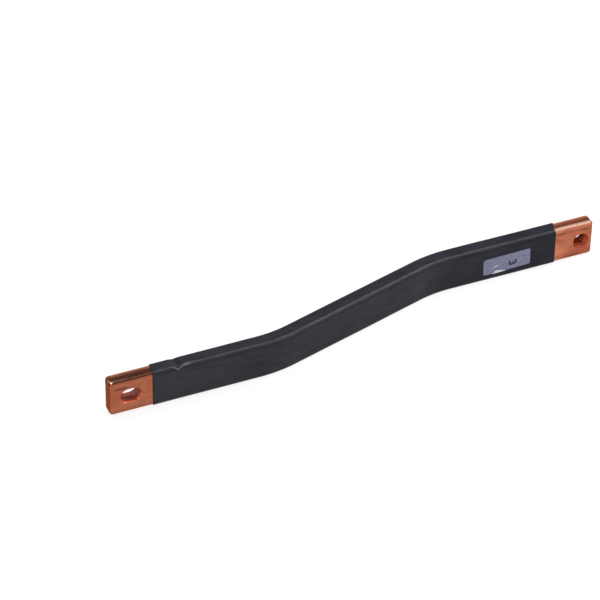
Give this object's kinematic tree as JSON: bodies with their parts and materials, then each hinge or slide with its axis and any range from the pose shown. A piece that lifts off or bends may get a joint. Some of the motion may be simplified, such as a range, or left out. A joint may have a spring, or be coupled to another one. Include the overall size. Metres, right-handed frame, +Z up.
{
  "type": "bus bar",
  "caption": "Joggled flat copper bus bar in a thin black insulating sleeve, with bare ends, slotted and drilled, that bolt to terminals, and a pale phase label.",
  "frame": {"origin": "middle of the bar's plan, on the surface that the sleeve's lower edge stands on", "axes": "+X along the parallel ends towards the drilled end, +Y to the back, away from the label, +Z up across the bar's width"},
  "size_m": [0.2782, 0.0374, 0.0212],
  "materials": {
    "copper": "drawn bare copper, satin, with fine lines along the bar",
    "sleeve": "matte black shrink sleeve",
    "label": "pale grey film sticker"
  },
  "bodies": {
    "root": {"copper_bar": "copper", "insulation_sleeve": "sleeve", "phase_label": "label"}
  },
  "joints": []
}
